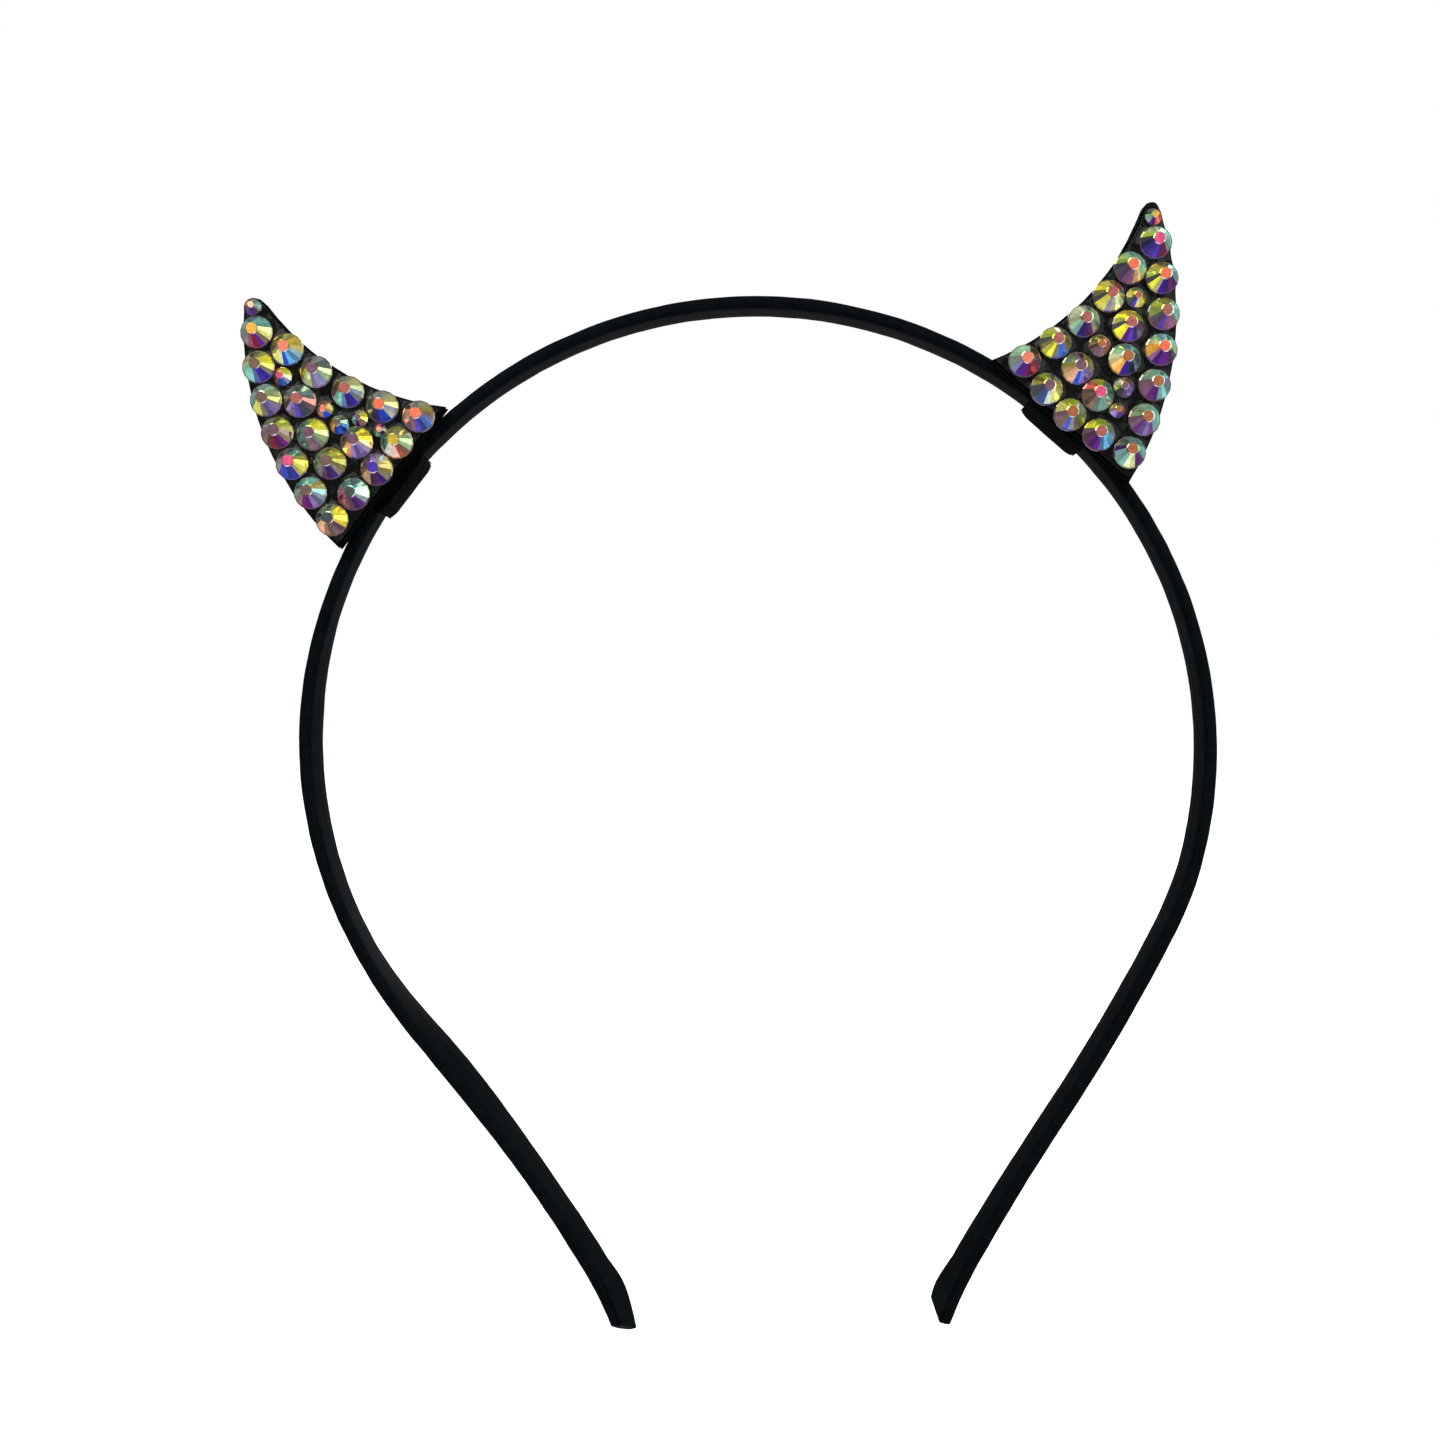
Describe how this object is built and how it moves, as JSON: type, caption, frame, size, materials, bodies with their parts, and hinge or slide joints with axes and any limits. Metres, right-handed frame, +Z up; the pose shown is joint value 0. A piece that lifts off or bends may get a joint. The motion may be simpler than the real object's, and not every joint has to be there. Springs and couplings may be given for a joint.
{
  "type": "devil horn headband",
  "caption": "Thin satin-covered spring headband with small felt devil horns set all over with iridescent flat-back crystals; its arms flex open over the head.",
  "frame": {"origin": "inner face of the band at the top of its arch, midway between the arms, where it sits on the head", "axes": "+Z up as worn; the crystals face -Y; +X is to the right of someone who looks at the crystals"},
  "size_m": [0.1423, 0.0114, 0.1645],
  "materials": {
    "satin": "near-black satin ribbon, soft lengthwise sheen, close weave",
    "spring_steel": "plain spring strip, hidden in the ribbon",
    "horn_felt": "matte black felt with short fibres",
    "strap_felt": "matte black felt strap, slightly shiny where glued",
    "horn_card": "grey-brown stiffening card, hidden between the felts",
    "glue_film": "glossy clear craft glue over black felt, mottled grey-green",
    "crystal": "foil-backed faceted glass with an iridescent coating, pink, gold, green and violet facets"
  },
  "bodies": {
    "crown": {"crown_satin_cover": "satin", "crown_spring_strip": "spring_steel"},
    "left_arm": {"left_back_felt": "horn_felt", "left_base_crystal_1": "crystal", "left_base_crystal_2": "crystal", "left_base_crystal_3": "crystal", "left_end_fold": "satin", "left_field_crystal_1": "crystal", "left_field_crystal_2": "crystal", "left_field_crystal_3": "crystal", "left_field_crystal_4": "crystal", "left_front_felt": "horn_felt", "left_glue_film": "glue_film", "left_horn_card": "horn_card", "left_inner_crystal_1": "crystal", "left_inner_crystal_2": "crystal", "left_inner_crystal_3": "crystal", "left_inner_crystal_4": "crystal", "left_inner_crystal_5": "crystal", "left_outer_crystal_1": "crystal", "left_outer_crystal_2": "crystal", "left_outer_crystal_3": "crystal", "left_outer_crystal_4": "crystal", "left_outer_crystal_5": "crystal", "left_outer_crystal_6": "crystal", "left_outer_crystal_7": "crystal", "left_satin_cover": "satin", "left_spring_strip": "spring_steel", "left_tip_crystal": "crystal", "left_wrap_strap": "strap_felt"},
    "right_arm": {"right_back_felt": "horn_felt", "right_base_crystal_1": "crystal", "right_base_crystal_2": "crystal", "right_base_crystal_3": "crystal", "right_end_fold": "satin", "right_field_crystal_1": "crystal", "right_field_crystal_2": "crystal", "right_field_crystal_3": "crystal", "right_field_crystal_4": "crystal", "right_front_felt": "horn_felt", "right_glue_film": "glue_film", "right_horn_card": "horn_card", "right_inner_crystal_1": "crystal", "right_inner_crystal_2": "crystal", "right_inner_crystal_3": "crystal", "right_inner_crystal_4": "crystal", "right_inner_crystal_5": "crystal", "right_outer_crystal_1": "crystal", "right_outer_crystal_2": "crystal", "right_outer_crystal_3": "crystal", "right_outer_crystal_4": "crystal", "right_outer_crystal_5": "crystal", "right_outer_crystal_6": "crystal", "right_outer_crystal_7": "crystal", "right_satin_cover": "satin", "right_small_crystal_1": "crystal", "right_small_crystal_2": "crystal", "right_spring_strip": "spring_steel", "right_tip_crystal": "crystal", "right_wrap_strap": "strap_felt"}
  },
  "joints": [
    {"name": "left_arm_flex", "type": "hinge", "parent": "crown", "child": "left_arm", "pos_m": [-0.02536, 0, -0.00398], "axis": [0, 1, 0], "range_deg": [-8, 16], "stiffness_Nm_per_rad": 0.75},
    {"name": "right_arm_flex", "type": "hinge", "parent": "crown", "child": "right_arm", "pos_m": [0.02536, 0, -0.00398], "axis": [0, -1, 0], "range_deg": [-8, 16], "stiffness_Nm_per_rad": 0.75}
  ]
}
